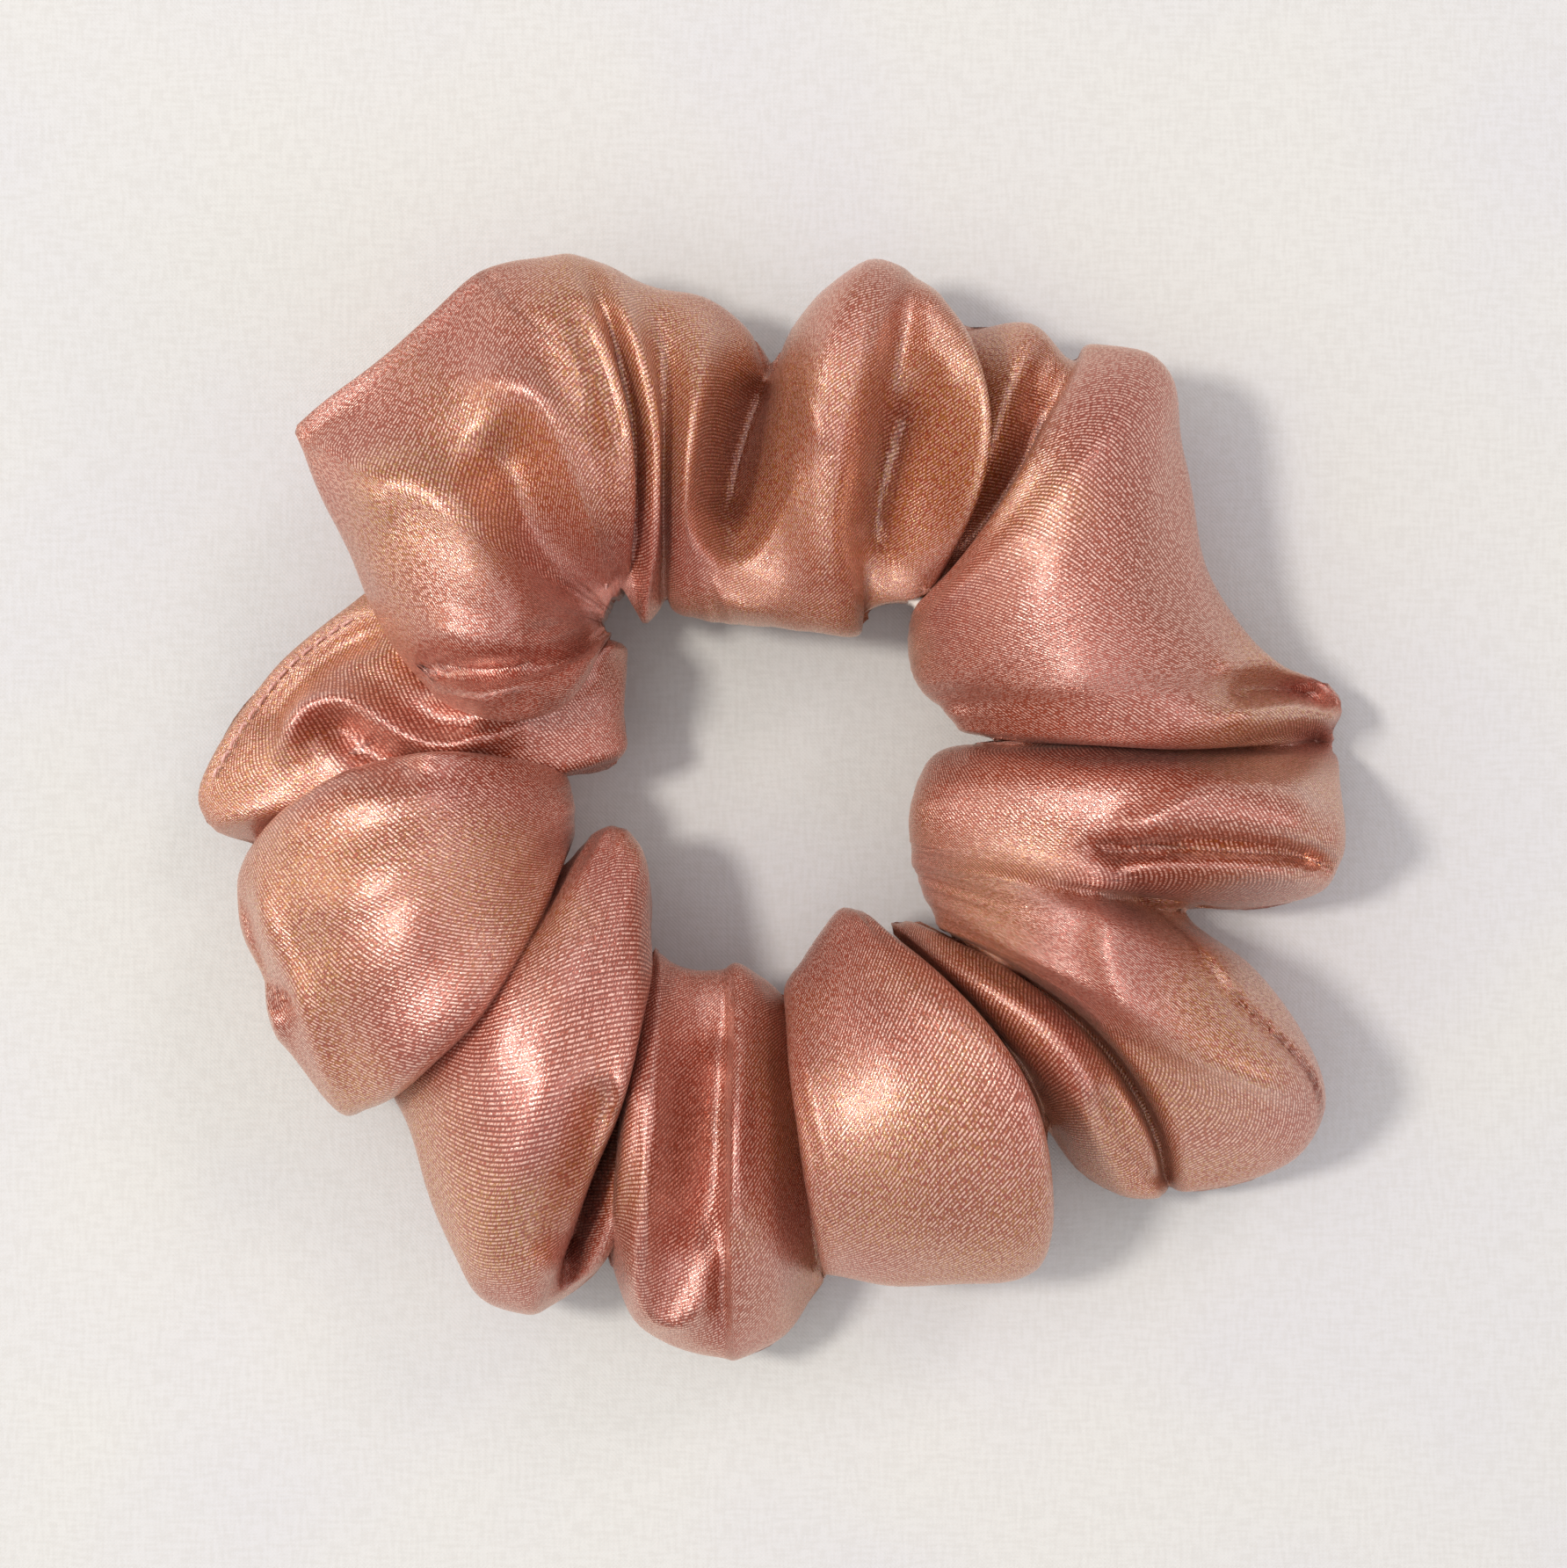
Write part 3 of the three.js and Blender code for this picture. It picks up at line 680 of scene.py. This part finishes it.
def satin_material():
    material, t = new_material("rose_satin")
    uv = t.add("ShaderNodeUVMap", uv_map="cloth").outputs[0]
    place = t.add("ShaderNodeTexCoord").outputs["Object"]
    diagonal = t.add("ShaderNodeMapping", {"Rotation": (0, 0, 0.96)}, {"Vector": uv}).outputs[0]
    across = t.split(diagonal).outputs[0]
    drift = t.noise(uv, 260, 2.0)
    across = t.math("ADD", across, t.math("MULTIPLY", drift, 0.5 * THREAD_PITCH))
    twill = t.math("SINE", t.math("MULTIPLY", across, 2 * math.pi / THREAD_PITCH))
    twill = t.remap(twill, -1, 1)
    floats = t.noise(t.stretched(uv, 0.0, (2600, 8200, 1)), 1, 1.0)
    picks = t.noise(t.stretched(uv, 0.96, (5200, 1500, 1)), 1, 1.0)
    specks = t.noise(t.stretched(uv, 0.35, (3800, 1900, 1)), 1, 2.0, 0.65)
    streaks = t.noise(t.stretched(uv, 0.96, (620, 90, 1)), 1, 3.0, 0.6)
    patches = t.noise(place, 55, 2.0, 0.5)
    dips = t.noise(uv, 420, 3.0, 0.55)
    broken = t.math("MULTIPLY", twill, t.remap(picks, 0.36, 0.58, 0.1, 1.0))
    # colour: rose threads, a golden cast in places, dark single threads, and on the twill the weave's own
    # stripes with painted highlight glints on the threads and painted shade in the gaps between them
    rose = t.mix(t.remap(patches, 0.3, 0.7), colour(172, 78, 48), colour(188, 98, 84))
    gold = t.math("MULTIPLY", t.remap(t.noise(place, 38, 2.0), 0.42, 0.66), t.remap(specks, 0.42, 0.58))
    rose = t.mix(t.math("MULTIPLY", gold, 0.75), rose, colour(214, 164, 86))
    # painted shade: the gaps between the twill lines darkened, over the weave's own stripes
    rose = t.mix(t.remap(twill, 0.5, 0.0, 0.0, 0.6), rose, colour(112, 40, 26))
    # painted highlight: near-white glints along the broken twill lines, over the weave's own stripes
    rose = t.mix(t.remap(broken, 0.4, 0.85, 0.0, 0.85), rose, colour(255, 214, 204))
    rose = t.mix(t.remap(floats, 0.42, 0.28, 0.0, 0.35), rose, colour(128, 62, 48))
    seam = t.add("ShaderNodeAttribute", attribute_name="seam").outputs["Fac"]
    rose = t.mix(t.math("MULTIPLY", seam, 0.6), rose, colour(96, 42, 32))
    # gloss: threads lie at slightly different angles, so the shine breaks into bright specks
    gloss = t.remap(specks, 0.36, 0.64, 0.44, 0.16)
    gloss = t.math("ADD", gloss, t.remap(streaks, 0.3, 0.7, -0.05, 0.07))
    height = t.math("MULTIPLY", broken, 0.8)
    height = t.math("ADD", height, t.math("MULTIPLY", floats, 1.3))
    height = t.math("ADD", height, t.math("MULTIPLY", picks, 1.4))
    normal = t.bump(dips, 0.5 * MM, 0.15)
    normal = t.bump(streaks, 0.25 * MM, 0.3, normal)
    fine_normal = t.bump(height, 0.036 * MM, 1.0, normal)
    soft_normal = t.bump(height, 0.025 * MM, 1.0, normal)
    along = t.add("ShaderNodeTangent", direction_type="UV_MAP", uv_map="cloth").outputs[0]
    return shaded(
        material,
        t,
        {
            "Metallic": 0.46,
            "IOR": 1.5,
            "Specular IOR Level": 0.8,
            "Specular Tint": colour(255, 232, 212),
            "Anisotropic": 0.5,
            "Anisotropic Rotation": 0.1,
            "Sheen Weight": 0.08,
            "Sheen Roughness": 0.35,
            "Sheen Tint": colour(250, 205, 190),
            "Coat Weight": 0.85,
            "Coat IOR": 1.8,
            "Coat Roughness": 0.3,
            "Coat Tint": colour(255, 246, 232),
        },
        {
            "Base Color": rose,
            "Roughness": gloss,
            "Normal": fine_normal,
            "Tangent": along,
            "Coat Normal": soft_normal,
        },
    )


# ---- the cover ----
grid = keep_off_ground(shaped_cover())
marks = {"seam": np.maximum(closeness(grid, LONG_SEAM, 0.35), 0.6 * closeness(grid, CROSS_SEAM, 0.3))}
cover = cloth_tube("satin_cover", grid, marks)
cover.data.materials.append(satin_material())

GATHERS = [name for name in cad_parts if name.startswith("satin_cover_gather")]
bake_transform(cover)
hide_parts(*GATHERS)


# ---- stitches, seams and the elastic: node trees that repeat or follow a path ----
def new_tree(name, *measures):
    """A node tree that turns a path, some measures and a material into a shape."""
    tree = bpy.data.node_groups.new(name, "GeometryNodeTree")
    inputs = [("Path", "Geometry"), *((label, "Float") for label in measures), ("Material", "Material")]
    for label, kind in inputs:
        tree.interface.new_socket(name=label, in_out="INPUT", socket_type="NodeSocket" + kind)
    tree.interface.new_socket(name="Result", in_out="OUTPUT", socket_type="NodeSocketGeometry")
    t = Nodes(tree)
    return tree, t, t.add("NodeGroupInput")


def finish_tree(t, source, shape):
    real = t.add("GeometryNodeRealizeInstances", links={"Geometry": shape})
    links = {"Geometry": real.outputs[0], "Material": source.outputs["Material"]}
    painted = t.add("GeometryNodeSetMaterial", links=links)
    t.add("NodeGroupOutput", links={0: painted.outputs[0]})


def spaced(t, path, step):
    """Points along a path, one at every step."""
    links = {"Curve": path.outputs[0], "Length": step}
    return t.add("GeometryNodeResampleCurve", links=links, mode="LENGTH")


def swept(t, curve, section):
    """A solid with the given section along a curve."""
    links = {"Curve": curve.outputs[0], "Profile Curve": section.outputs[0]}
    return t.add("GeometryNodeCurveToMesh", {"Fill Caps": True}, links)


def thread_along(t, source, curve, sides):
    radius = t.math("MULTIPLY", source.outputs["Thread Thickness"], 0.5)
    ring = t.add("GeometryNodeCurvePrimitiveCircle", {"Resolution": sides}, {"Radius": radius})
    return swept(t, curve, ring)


def facing(t):
    """Points each repeat along the path, with its back to the cloth."""
    tangent = t.add("GeometryNodeInputTangent")
    out = t.add("GeometryNodeInputNamedAttribute", {"Name": "outward"}, data_type="FLOAT_VECTOR")
    first = t.add("FunctionNodeAlignRotationToVector", links={"Vector": tangent.outputs[0]}, axis="X")
    return t.add(
        "FunctionNodeAlignRotationToVector",
        links={"Rotation": first.outputs[0], "Vector": out.outputs[0]},
        axis="Z",
        pivot_axis="X",
    ).outputs[0]


def stitch_row_tree():
    """A row of separate stitches, each a short bowed length of thread."""
    measures = ("Stitch Length", "Stitch Step", "Thread Thickness", "Bow")
    tree, t, source = new_tree("stitch_row", *measures)
    path = t.add("GeometryNodeMeshToCurve", links={"Mesh": source.outputs["Path"]})
    spots = spaced(t, path, source.outputs["Stitch Step"])
    half = t.math("MULTIPLY", source.outputs["Stitch Length"], 0.5)
    start = t.add("ShaderNodeCombineXYZ", links={"X": t.math("MULTIPLY", half, -1.0)})
    end = t.add("ShaderNodeCombineXYZ", links={"X": half})
    line = t.add("GeometryNodeCurvePrimitiveLine", links={"Start": start.outputs[0], "End": end.outputs[0]})
    fine = t.add("GeometryNodeResampleCurve", {"Count": 6}, {"Curve": line.outputs[0]}, mode="COUNT")
    where = t.split(t.add("GeometryNodeInputPosition").outputs[0])
    part = t.math("DIVIDE", where.outputs[0], half)
    arch = t.math("SUBTRACT", 1.0, t.math("MULTIPLY", part, part))
    lift = t.add("ShaderNodeCombineXYZ", links={"Z": t.math("MULTIPLY", arch, source.outputs["Bow"])})
    bowed = t.add("GeometryNodeSetPosition", links={"Geometry": fine.outputs[0], "Offset": lift.outputs[0]})
    thread = thread_along(t, source, bowed, 6)
    row = t.add(
        "GeometryNodeInstanceOnPoints",
        links={"Points": spots.outputs[0], "Instance": thread.outputs[0], "Rotation": facing(t)},
    )
    finish_tree(t, source, row.outputs[0])
    return tree


def zigzag_tree():
    """One thread that runs zigzag across a lap."""
    measures = ("Step", "Width", "Thread Thickness")
    tree, t, source = new_tree("zigzag_row", *measures)
    path = t.add("GeometryNodeMeshToCurve", links={"Mesh": source.outputs["Path"]})
    spots = spaced(t, path, source.outputs["Step"])
    odd = t.math("MODULO", t.add("GeometryNodeInputIndex").outputs[0], 2.0)
    swing = t.math("MULTIPLY", t.math("SUBTRACT", odd, 0.5), source.outputs["Width"])
    move = t.add("ShaderNodeCombineXYZ", links={"Z": swing})
    links = {"Geometry": spots.outputs[0], "Offset": move.outputs[0]}
    zigzag = t.add("GeometryNodeSetPosition", links=links)
    thread = thread_along(t, source, zigzag, 8)
    finish_tree(t, source, thread.outputs[0])
    return tree


def knitted_band_tree():
    """A flat band standing on edge, with a cross rib at every step."""
    measures = ("Band Height", "Band Thickness", "Rib Step", "Rib Thickness")
    tree, t, source = new_tree("knitted_band", *measures)
    path = t.add("GeometryNodeMeshToCurve", links={"Mesh": source.outputs["Path"]})
    upright = t.add("GeometryNodeSetCurveNormal", links={"Curve": path.outputs[0]}, mode="Z_UP")
    section = t.add(
        "GeometryNodeCurvePrimitiveQuadrilateral",
        links={"Width": source.outputs["Band Thickness"], "Height": source.outputs["Band Height"]},
    )
    band = swept(t, upright, section)
    spots = spaced(t, path, source.outputs["Rib Step"])
    rod = t.add(
        "GeometryNodeMeshCylinder",
        {"Vertices": 8, "Radius": 0.5},
        {"Depth": t.math("MULTIPLY", source.outputs["Band Height"], 0.97)},
    )
    through = t.math("ADD", source.outputs["Band Thickness"], 0.25 * MM)
    size = t.add("ShaderNodeCombineXYZ", {"Z": 1.0}, {"X": source.outputs["Rib Thickness"], "Y": through})
    shaped = t.add("GeometryNodeTransform", links={"Geometry": rod.outputs[0], "Scale": size.outputs[0]})
    ribs = t.add(
        "GeometryNodeInstanceOnPoints",
        links={"Points": spots.outputs[0], "Instance": shaped.outputs[0], "Rotation": facing(t)},
    )
    both = t.add("GeometryNodeJoinGeometry", links={0: band.outputs[0]})
    tree.links.new(ribs.outputs[0], both.inputs[0])
    finish_tree(t, source, both.outputs[0])
    return tree


def grown(name, tree, path, out, **values):
    """Runs a node tree along a path in millimetres and keeps the result as a plain piece."""
    path_mesh = bpy.data.meshes.new(name + "_path")
    path_mesh.from_pydata((np.array(path) * MM).tolist(), [(k, k + 1) for k in range(len(path) - 1)], [])
    outwards = path_mesh.attributes.new("outward", "FLOAT_VECTOR", "POINT")
    outwards.data.foreach_set("vector", np.array(out).reshape(-1))
    holder = bpy.data.objects.new(name + "_path", path_mesh)
    scene.collection.objects.link(holder)
    modifier = holder.modifiers.new("row", "NODES")
    modifier.node_group = tree
    for socket in tree.interface.items_tree:
        label = socket.name.lower().replace(" ", "_")
        if socket.in_out == "INPUT" and label in values:
            modifier[socket.identifier] = values[label]
    graph = bpy.context.evaluated_depsgraph_get()
    mesh = bpy.data.meshes.new_from_object(holder.evaluated_get(graph), depsgraph=graph)
    mesh.name = name
    mesh.materials.clear()
    mesh.materials.append(values["material"])
    mesh.polygons.foreach_set("material_index", [0] * len(mesh.polygons))
    bpy.data.objects.remove(holder)
    bpy.data.meshes.remove(path_mesh)
    return add_piece(name, mesh)


def thread_material():
    material, t = new_material("rose_thread")
    place = t.add("ShaderNodeTexCoord").outputs["Object"]
    fibres = t.noise(t.stretched(place, 0.7, (9000, 2600, 5200)), 1, 2.0)
    shade = t.mix(t.remap(fibres, 0.3, 0.7), colour(186, 120, 106), colour(240, 196, 184))
    normal = t.bump(fibres, 0.05 * MM, 0.7)
    values = {"Roughness": 0.42, "Sheen Weight": 0.3}
    return shaded(material, t, values, {"Base Color": shade, "Normal": normal})


def elastic_material():
    material, t = new_material("cream_elastic")
    place = t.add("ShaderNodeTexCoord").outputs["Object"]
    height = t.split(place).outputs[2]
    loops = t.remap(t.math("SINE", t.math("MULTIPLY", height, 2 * math.pi / (0.75 * MM))), -1, 1)
    fuzz = t.noise(place, 2600, 3.0, 0.6)
    shade = t.mix(t.remap(fuzz, 0.3, 0.7), colour(226, 218, 206), colour(244, 240, 232))
    shade = t.mix(t.remap(loops, 0.4, 0.0, 0.0, 0.3), shade, colour(188, 178, 164))
    normal = t.bump(t.math("ADD", loops, t.math("MULTIPLY", fuzz, 0.6)), 0.12 * MM, 0.8)
    values = {"Roughness": 0.8, "Sheen Weight": 0.3}
    return shaded(material, t, values, {"Base Color": shade, "Normal": normal})


def on_cover(points, rise, count):
    """A path on the top of the cover over the given plan line, and the way out at each point."""
    line, _ = smooth_path(points, count)
    top = grid[:, 2 : grid.shape[1] // 2 - 1].reshape(-1, 3)
    out = outward(grid)[:, 2 : grid.shape[1] // 2 - 1].reshape(-1, 3)
    rows = []
    for point in line:
        gap = np.hypot(top[:, 0] - point[0], top[:, 1] - point[1])
        close = np.where(gap < 0.9)[0]
        rows.append(close[top[close, 2].argmax()] if len(close) else gap.argmin())
    rows = np.array(rows)
    spots = top[rows].copy()
    spots[:, :2] = line
    for _ in range(3):
        spots[1:-1, 2] = (spots[:-2, 2] + 2 * spots[1:-1, 2] + spots[2:, 2]) / 4
    ways = out[rows].copy()
    for _ in range(3):
        ways[1:-1] = (ways[:-2] + 2 * ways[1:-1] + ways[2:]) / 4
    ways /= np.linalg.norm(ways, axis=1, keepdims=True)
    return spots + rise * ways, ways


def inside_cover(rows, column, depth):
    """A path that runs just inside the cloth, along one lengthwise thread of it."""
    spots = grid[rows, column]
    middle = grid[rows].mean(1)
    ways = middle - spots
    ways /= np.linalg.norm(ways, axis=1, keepdims=True)
    path = spots + depth * ways
    path[:, 2] = np.maximum(path[:, 2], LOWEST_THREAD)
    return path, ways


stitch_row = stitch_row_tree()
rose_thread = thread_material()
SEAM_COLUMN = int(0.8 * ROUND_STEPS)
SEAM_DEPTH = 1.1
LOCKSTITCH = {
    "stitch_length": 1.9 * MM,
    "stitch_step": 2.3 * MM,
    "thread_thickness": 0.28 * MM,
    "bow": 0.12 * MM,
}
seam_line = grid[:, SEAM_COLUMN]
for side, name, body in (
    (seam_line[:, 0] < RING_MIDDLE[0], "long_seam_stitches_left", "left"),
    (seam_line[:, 0] >= RING_MIDDLE[0], "long_seam_stitches_right", "right"),
):
    rows = np.arange(ALONG_STEPS)
    first = rows[side & ~np.roll(side, 1)][0]
    rows = np.roll(rows, -first)
    rows = rows[side[rows]]
    path, ways = inside_cover(rows, SEAM_COLUMN, SEAM_DEPTH)
    seam = grown(name, stitch_row, path, ways, material=rose_thread, **LOCKSTITCH)
    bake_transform(seam)
    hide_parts("long_seam_thread_" + body)

cross_row = int(np.hypot(grid[:, 0, 0] - CROSS_SEAM[0][0], grid[:, 0, 1] - CROSS_SEAM[0][1]).argmin())
cross_columns = np.arange(4, ROUND_STEPS - 3)
cross_ways = outward(grid)[cross_row, cross_columns]
cross = grown(
    "cross_seam_stitches",
    stitch_row,
    grid[cross_row, cross_columns] - SEAM_DEPTH * cross_ways,
    -cross_ways,
    material=rose_thread,
    **LOCKSTITCH,
)
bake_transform(cross)
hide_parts("cross_seam_thread")

# The closing stitches start where the edge comes out from beside the puff above it.
FIRST_STITCH = -44.0
path, ways = on_cover(STITCHED_EDGE, -0.02, 90)
in_the_open = path[:, 0] < FIRST_STITCH
path, ways = path[in_the_open], ways[in_the_open]
closing = grown(
    "closing_edge_stitches",
    stitch_row,
    path,
    ways,
    stitch_length=1.25 * MM,
    stitch_step=1.75 * MM,
    thread_thickness=0.34 * MM,
    bow=0.22 * MM,
    material=rose_thread,
)
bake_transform(closing)
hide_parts("closing_edge_stitch")

# The elastic: one band, its far end lapped outside its near end and sewn with a zigzag.
ELASTIC_NODES = ("elastic_right", "elastic_upper_end", "elastic_lower_end")
band_low = min(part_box(name)[0][2] for name in ELASTIC_NODES) / MM
band_high = max(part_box(name)[1][2] for name in ELASTIC_NODES) / MM
BAND_THICKNESS = 1.0
LAP_GAP = 0.3
# The band moves outwards a little where the cover leaves it bare beside the hole.
ELASTIC_DETOUR = 2.6
DETOUR_ANGLE = math.radians(121)
LAP_START, LAP_END = math.radians(157), math.radians(178)


def band_path(start, end, count, extra=0.0):
    """Part of the elastic's ring, and the way out at each point. Its far end steps out over the lap."""
    turn = np.linspace(start, end, count)
    step_out = np.clip((turn - (LAP_START + 2 * math.pi - 0.25)) / 0.25, 0, 1)
    pushed_out = ELASTIC_DETOUR * np.exp(-(((turn % (2 * math.pi) - DETOUR_ANGLE) / 0.3) ** 2))
    over_lap = (BAND_THICKNESS + LAP_GAP) * step_out * step_out * (3 - 2 * step_out)
    radius = ELASTIC_RADIUS + pushed_out + extra + over_lap
    path = np.stack(
        [
            RING_MIDDLE[0] + radius * np.cos(turn),
            RING_MIDDLE[1] + radius * np.sin(turn),
            np.full(count, (band_low + band_high) / 2),
        ],
        -1,
    )
    return path, np.stack([np.cos(turn), np.sin(turn), np.zeros(count)], -1)


path, ways = band_path(LAP_START, LAP_END + 2 * math.pi, 260)
elastic = grown(
    "elastic_band",
    knitted_band_tree(),
    path,
    np.tile((0.0, 0.0, 1.0), (len(path), 1)),
    band_height=(band_high - band_low) * MM,
    band_thickness=BAND_THICKNESS * MM,
    rib_step=0.8 * MM,
    rib_thickness=0.5 * MM,
    material=elastic_material(),
)
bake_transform(elastic)
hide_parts(*ELASTIC_NODES)

path, ways = band_path(LAP_START + 0.05 + 2 * math.pi, LAP_END - 0.05 + 2 * math.pi, 40, 0.7)
zigzag = grown(
    "elastic_lap_zigzag_thread",
    zigzag_tree(),
    path,
    ways,
    step=0.9 * MM,
    width=3.6 * MM,
    thread_thickness=0.3 * MM,
    material=rose_thread,
)
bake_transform(zigzag)
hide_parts("elastic_lap_zigzag")


# ---- the table cloth ----
def table_cloth_material():
    material, t = new_material("white_table_cloth")
    place = t.add("ShaderNodeTexCoord").outputs["Object"]
    split = t.split(place)
    wobble = t.noise(place, 900, 2.0)
    pitch = 0.42 * MM
    x = t.math("ADD", split.outputs[0], t.math("MULTIPLY", wobble, 0.35 * pitch))
    y = t.math("ADD", split.outputs[1], t.math("MULTIPLY", t.noise(place, 1100, 2.0), 0.35 * pitch))
    warp = t.math("SINE", t.math("MULTIPLY", x, 2 * math.pi / pitch))
    weft = t.math("SINE", t.math("MULTIPLY", y, 2 * math.pi / pitch))
    slub_x = t.noise(t.stretched(place, 0, (2300, 420, 1)), 1, 2.0)
    slub_y = t.noise(t.stretched(place, 0, (420, 2300, 1)), 1, 2.0)
    height = t.math("MULTIPLY", t.math("MULTIPLY", warp, weft), 0.5)
    height = t.math("ADD", height, t.math("MULTIPLY", slub_x, 1.6))
    height = t.math("ADD", height, t.math("MULTIPLY", slub_y, 1.6))
    # painted light and shade: broad soft dapples of warm white and faint lilac-grey shadow
    painted_dapples = t.remap(t.noise(place, 22, 2.0), 0.35, 0.65)
    tone = t.mix(painted_dapples, colour(214, 212, 206), colour(211, 209, 208))
    tone = t.mix(t.remap(t.math("ADD", slub_x, slub_y), 0.8, 1.25, 0.0, 0.3), tone, colour(196, 192, 185))
    normal = t.bump(height, 0.07 * MM, 0.3)
    values = {"Roughness": 0.9, "Specular IOR Level": 0.2, "Sheen Weight": 0.1}
    return shaded(material, t, values, {"Base Color": tone, "Normal": normal})


TABLE_REACH = 0.6
table_mesh = bpy.data.meshes.new("table_cloth")
table_corners = [(x * TABLE_REACH, y * TABLE_REACH, 0) for x, y in ((-1, -1), (1, -1), (1, 1), (-1, 1))]
table_mesh.from_pydata(table_corners, [], [(0, 1, 2, 3)])
table = add_piece("table_cloth", table_mesh)
table.data.materials.append(table_cloth_material())

# ---- camera ----
CAMERA_HEIGHT = 0.36
SHARP_LEVEL = 0.018
WIDTH_SHOWN = 0.1603
SENSOR_WIDTH = 36
camera_data = bpy.data.cameras.new("camera")
camera = bpy.data.objects.new("camera", camera_data)
scene.collection.objects.link(camera)
camera.location = (0.0014, 0.0031, CAMERA_HEIGHT)
camera_data.sensor_fit = "HORIZONTAL"
camera_data.sensor_width = SENSOR_WIDTH
camera_data.lens = SENSOR_WIDTH * (CAMERA_HEIGHT - SHARP_LEVEL) / WIDTH_SHOWN
scene.camera = camera


# ---- light ----
def add_light(name, place, size, energy, tint):
    data = bpy.data.lights.new(name, "AREA")
    data.shape = "DISK"
    data.size = size
    data.energy = energy
    data.color = tint
    light = bpy.data.objects.new(name, data)
    light.location = place
    light.rotation_euler = (-Vector(place)).to_track_quat("-Z", "Y").to_euler()
    scene.collection.objects.link(light)


add_light("window", (-0.41, 0.07, 0.78), 0.13, 3.9, (1.0, 0.96, 0.91))
add_light("upper_window", (0.35, 0.45, 0.6), 0.25, 0.9, (1.0, 0.92, 0.94))
add_light("warm_wall", (-0.7, 0.1, 0.13), 0.25, 0.5, (1.0, 0.84, 0.6))
add_light("far_wall", (0.62, -0.2, 0.36), 0.4, 0.7, (1.0, 0.84, 0.86))

# The room glows most round the window, and is darker low down and behind the camera's top edge.
GLOW_HEADING = (-0.46, 0.08, 0.885)
world = bpy.data.worlds.new("room")
scene.world = world
world.use_nodes = True
room = Nodes(world.node_tree)
heading = room.add("ShaderNodeTexCoord").outputs["Generated"]
sides = room.split(heading)
glow = room.add(
    "ShaderNodeVectorMath", {1: GLOW_HEADING}, {0: heading}, operation="DOT_PRODUCT"
).outputs["Value"]
bright = room.remap(glow, 0.72, 0.985, 0.62, 1.5)
bright = room.math("MULTIPLY", bright, room.remap(sides.outputs[2], 0.0, 0.4, 0.6, 1.0))
bright = room.math("MULTIPLY", bright, room.remap(sides.outputs[1], 0.2, 0.75, 1.0, 0.6))
backdrop = room.add("ShaderNodeBackground", {"Color": (0.93, 0.95, 1.0, 1)}, {"Strength": bright})
room.add("ShaderNodeOutputWorld", links={"Surface": backdrop.outputs[0]})
scene.view_settings.view_transform = "Standard"
